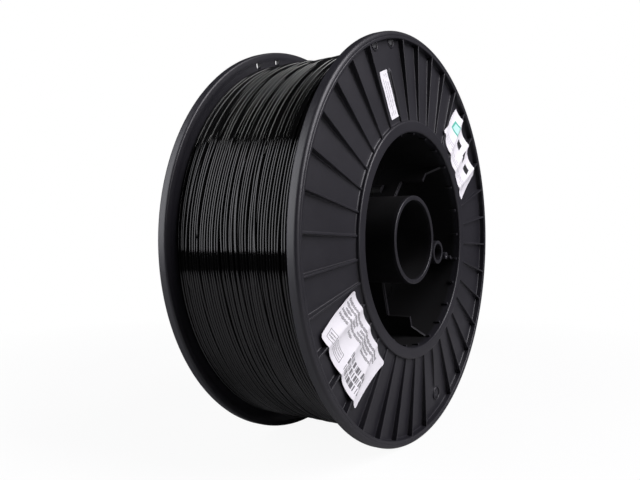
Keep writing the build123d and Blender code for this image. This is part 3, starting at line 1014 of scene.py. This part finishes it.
def build_world():
    """White to the camera; to other rays dark, with a soft glow from +X and -Y."""
    world = bpy.data.worlds.new("studio")
    scene.world = world
    world.use_nodes = True
    tree = world.node_tree
    tree.nodes.clear()
    output = add_node(tree, "ShaderNodeOutputWorld")
    seen = add_node(tree, "ShaderNodeBackground", {"Color": (1, 1, 1, 1), "Strength": 1.0})
    coords = add_node(tree, "ShaderNodeTexCoord")
    x, y, z = split(tree, coords.outputs["Generated"])
    side = (x * 0.80 + y * -0.60).max(0.0)
    glow = side.pow(1.4) * ((z * 1.6 + 0.35).clamp() * 0.8 + 0.2)
    colour = mix_colour(tree, glow.clamp(), (0.012, 0.012, 0.013), (0.15, 0.147, 0.165))
    lighting = add_node(tree, "ShaderNodeBackground", {"Color": colour, "Strength": 1.0})
    light_path = add_node(tree, "ShaderNodeLightPath")
    mix = add_node(tree, "ShaderNodeMixShader", {
        0: light_path.outputs["Is Camera Ray"], 1: lighting.outputs[0], 2: seen.outputs[0]})
    tree.links.new(mix.outputs[0], output.inputs[0])


floor = build_floor()
build_world()


# ------------------------------------------------------------------ lights, in metres
def pose(centre, x_axis, y_axis, z_axis):
    turn = Matrix((x_axis, y_axis, z_axis)).transposed().to_4x4()
    return Matrix.Translation(Vector(centre)) @ turn


def area_light(name, centre, facing, up, width, height, power, colour=(1, 1, 1)):
    light = bpy.data.lights.new(name, "AREA")
    light.shape = "RECTANGLE"
    light.size, light.size_y = width, height
    light.energy = power
    light.color = colour
    obj = bpy.data.objects.new(name, light)
    z_axis = -Vector(facing).normalized()
    x_axis = Vector(up).cross(z_axis).normalized()
    obj.matrix_world = pose(centre, x_axis, z_axis.cross(x_axis), z_axis)
    obj.visible_camera = False
    scene.collection.objects.link(obj)
    return obj


def light_group(name, objects):
    group = bpy.data.collections.new(name)
    for obj in objects:
        group.objects.link(obj)
    return group


# a tall softbox to the camera's left, mirrored in the winding
far_end, near_end = Vector((-0.346, 0.712, 0)), Vector((-0.596, 0.296, 0))
along = (near_end - far_end).normalized()
near_end = near_end + along * 0.26
middle = (far_end + near_end) / 2
area_light("softbox_left", centre=(middle.x, middle.y, 0.3195),
           facing=(-along.y, along.x, 0), up=(0, 0, 1), width=(near_end - far_end).length,
           height=0.761, power=5.7, colour=(1, 1, 1.05))

# the key, high in front, lights everything but the filament
key = area_light("key_front", centre=(0.12, -0.95, 0.78), facing=(-0.10, 0.77, -0.62),
                 up=(0, 0, 1), width=0.6, height=1.3, power=20.5, colour=(1.0, 0.97, 1.03))
key.light_linking.receiver_collection = light_group(
    "lit_by_key", (front, rear, front_label, data_label, strip_label, floor))

# a long strip overhead draws thin lines along the upper turns
strip_start, strip_end = Vector((-0.33, -1.30, 1.0)), Vector((1.45, -0.15, 1.0))
strip_run = strip_end - strip_start
strip = area_light("strip_over", centre=(strip_start + strip_end) / 2,
                   facing=-(strip_start + strip_end), up=strip_run, width=0.30,
                   height=strip_run.length, power=19.0)
wound = light_group("lit_by_strip", (outer, inner))
strip.light_linking.receiver_collection = wound
strip.light_linking.blocker_collection = wound

# ------------------------------------------------------------------ camera
CAMERA_DISTANCE = 466.425              # mm from the origin
AZIMUTH = math.radians(58.76)          # from -Y towards -X
ELEVATION = math.radians(0.44)
PAN, TILT = math.radians(-1.659), math.radians(0.127)   # away from aiming at the origin

outward = Vector((-math.cos(ELEVATION) * math.sin(AZIMUTH),
                  -math.cos(ELEVATION) * math.cos(AZIMUTH), math.sin(ELEVATION)))
ahead = -outward
right = ahead.cross(Vector((0, 0, 1))).normalized()
above = right.cross(ahead)
panned_right = math.cos(PAN) * right - math.sin(PAN) * ahead
panned_ahead = math.sin(PAN) * right + math.cos(PAN) * ahead
tilted_up = math.cos(TILT) * above - math.sin(TILT) * panned_ahead
tilted_ahead = math.sin(TILT) * above + math.cos(TILT) * panned_ahead

lens = bpy.data.cameras.new("camera")
camera = bpy.data.objects.new("camera", lens)
scene.collection.objects.link(camera)
camera.matrix_world = pose(outward * CAMERA_DISTANCE * MM, panned_right, tilted_up, -tilted_ahead)
lens.sensor_fit = "HORIZONTAL"
lens.sensor_width = 36.0
lens.lens = 37.06875
lens.shift_x = -0.01996875
lens.shift_y = -0.003078125
lens.clip_start, lens.clip_end = 0.01, 20.0
scene.camera = camera
scene.view_settings.view_transform = "Standard"
scene.view_settings.look = "None"
